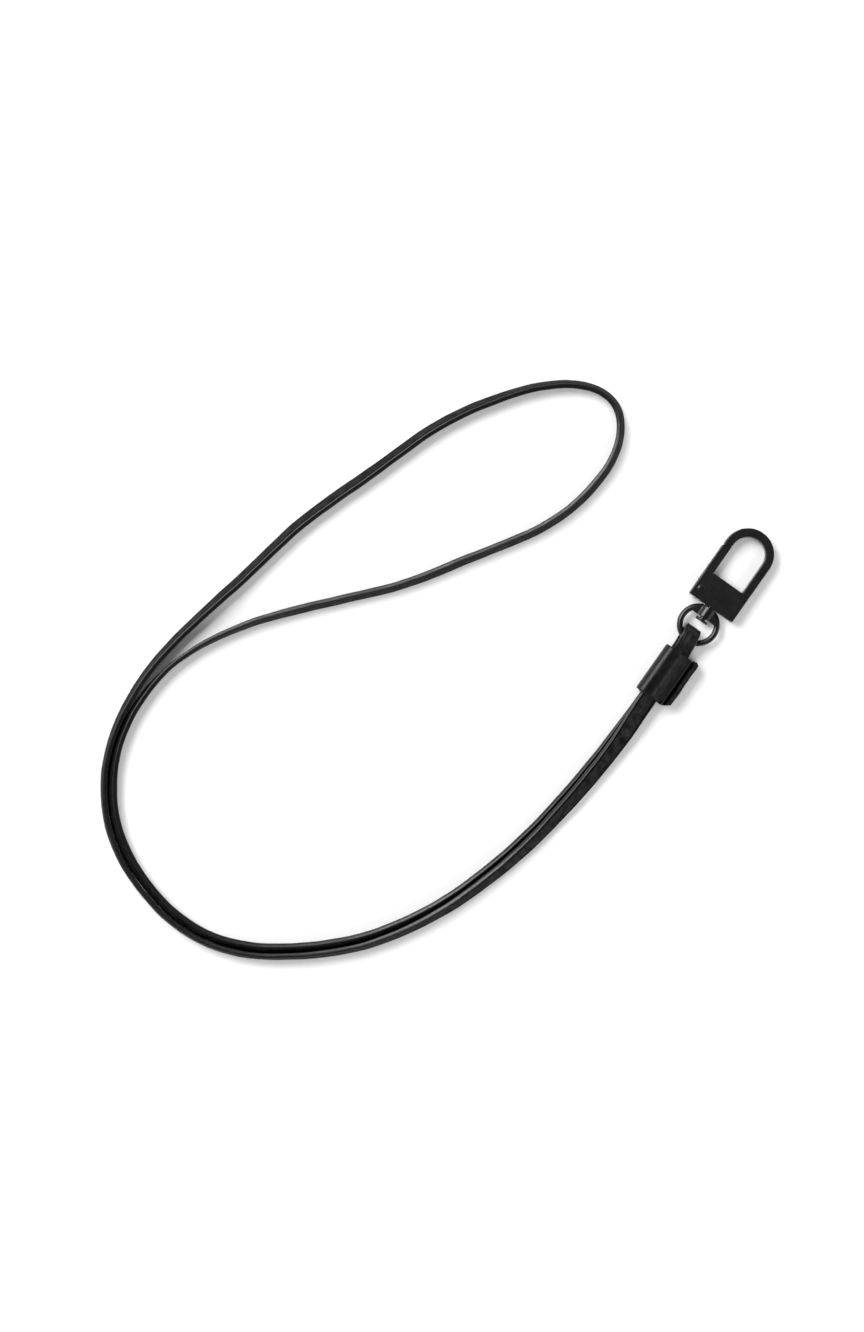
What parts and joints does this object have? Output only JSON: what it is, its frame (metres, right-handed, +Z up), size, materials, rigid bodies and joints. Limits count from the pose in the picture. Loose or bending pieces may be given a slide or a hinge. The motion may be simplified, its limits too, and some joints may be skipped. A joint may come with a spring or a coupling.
{
  "type": "neck lanyard",
  "caption": "Flat leather neck lanyard: a long strap loop held by a wrapped leather keeper, with a swivel ring and a snap hook with a sprung gate.",
  "frame": {"origin": "middle of the keeper's flat underside, on the surface that the lanyard lies on", "axes": "+Y along the keeper and the hook to the hook's tip, +X to the right, +Z up"},
  "size_m": [0.1447, 0.22, 0.0076],
  "materials": {
    "strap_leather": "smooth black leather with rounded painted edges",
    "lining_leather": "smooth black leather lining",
    "keeper_leather": "satin black leather with cut edges",
    "black_metal": "matt black powder coat on zinc casting",
    "rivet_metal": "satin black coat on turned steel",
    "spring_steel": "bare spring wire"
  },
  "bodies": {
    "strap": {"strap_loop": "strap_leather", "strap_fold_face": "strap_leather", "strap_fold_lining": "lining_leather", "keeper": "keeper_leather"},
    "ring": {"swivel_ring": "black_metal"},
    "hook": {"hook_body": "black_metal", "swivel_rivet": "rivet_metal", "gate_pin": "rivet_metal", "gate_spring": "spring_steel"},
    "gate": {"gate": "black_metal"}
  },
  "joints": [
    {"name": "ring_swing", "type": "hinge", "parent": "strap", "child": "ring", "pos_m": [-0.0002, 0.0133, 0.0038], "axis": [1, 0, 0], "range_deg": [-120, 120]},
    {"name": "hook_swivel", "type": "hinge", "parent": "ring", "child": "hook", "pos_m": [-0.0002, 0.02379, 0.00342], "axis": [0, 0.9994, -0.036], "continuous": true},
    {"name": "gate_turn", "type": "hinge", "parent": "hook", "child": "gate", "pos_m": [-0.0063, 0.02909, 0.00323], "axis": [0, -0.036, -0.9994], "range_deg": [0, 20], "stiffness_Nm_per_rad": 0.004, "springref_deg": -28.65}
  ]
}
